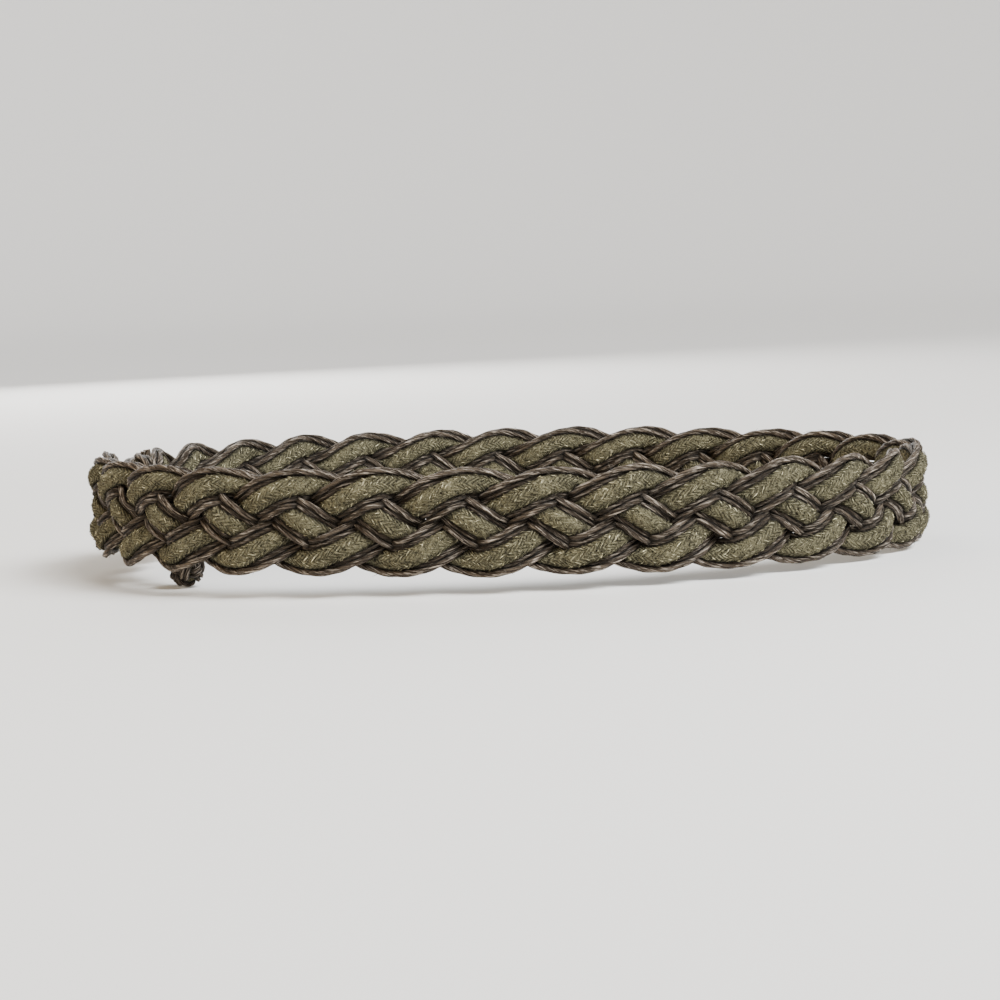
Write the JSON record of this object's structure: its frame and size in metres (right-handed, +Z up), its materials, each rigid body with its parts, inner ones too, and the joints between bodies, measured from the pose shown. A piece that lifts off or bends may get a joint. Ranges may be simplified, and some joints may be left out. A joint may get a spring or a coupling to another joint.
{
  "type": "braided belt",
  "caption": "Wide flat braided cord belt, fastened round a waist: soft felted cords edged with thin waxed cords, lapped and held by a round knot in a loop.",
  "frame": {"origin": "middle of the belt's footprint, on the surface it stands on", "axes": "+Z up out of the waist opening, +X to the wearer's left as seen from the front, -Y is the belt's front"},
  "size_m": [0.292, 0.2188, 0.042],
  "materials": {
    "soft_cord": "felted cotton cord, matt, with short fibres, olive",
    "waxed_cord": "thin waxed cord, grey brown, a soft sheen along its twist"
  },
  "bodies": {
    "root": {"strand_1": "soft_cord", "strand_2": "soft_cord", "strand_3": "soft_cord", "strand_4": "soft_cord", "inner_binding": "waxed_cord", "outer_binding": "waxed_cord", "end_knot": "waxed_cord", "keeper_loop": "waxed_cord"}
  },
  "joints": []
}
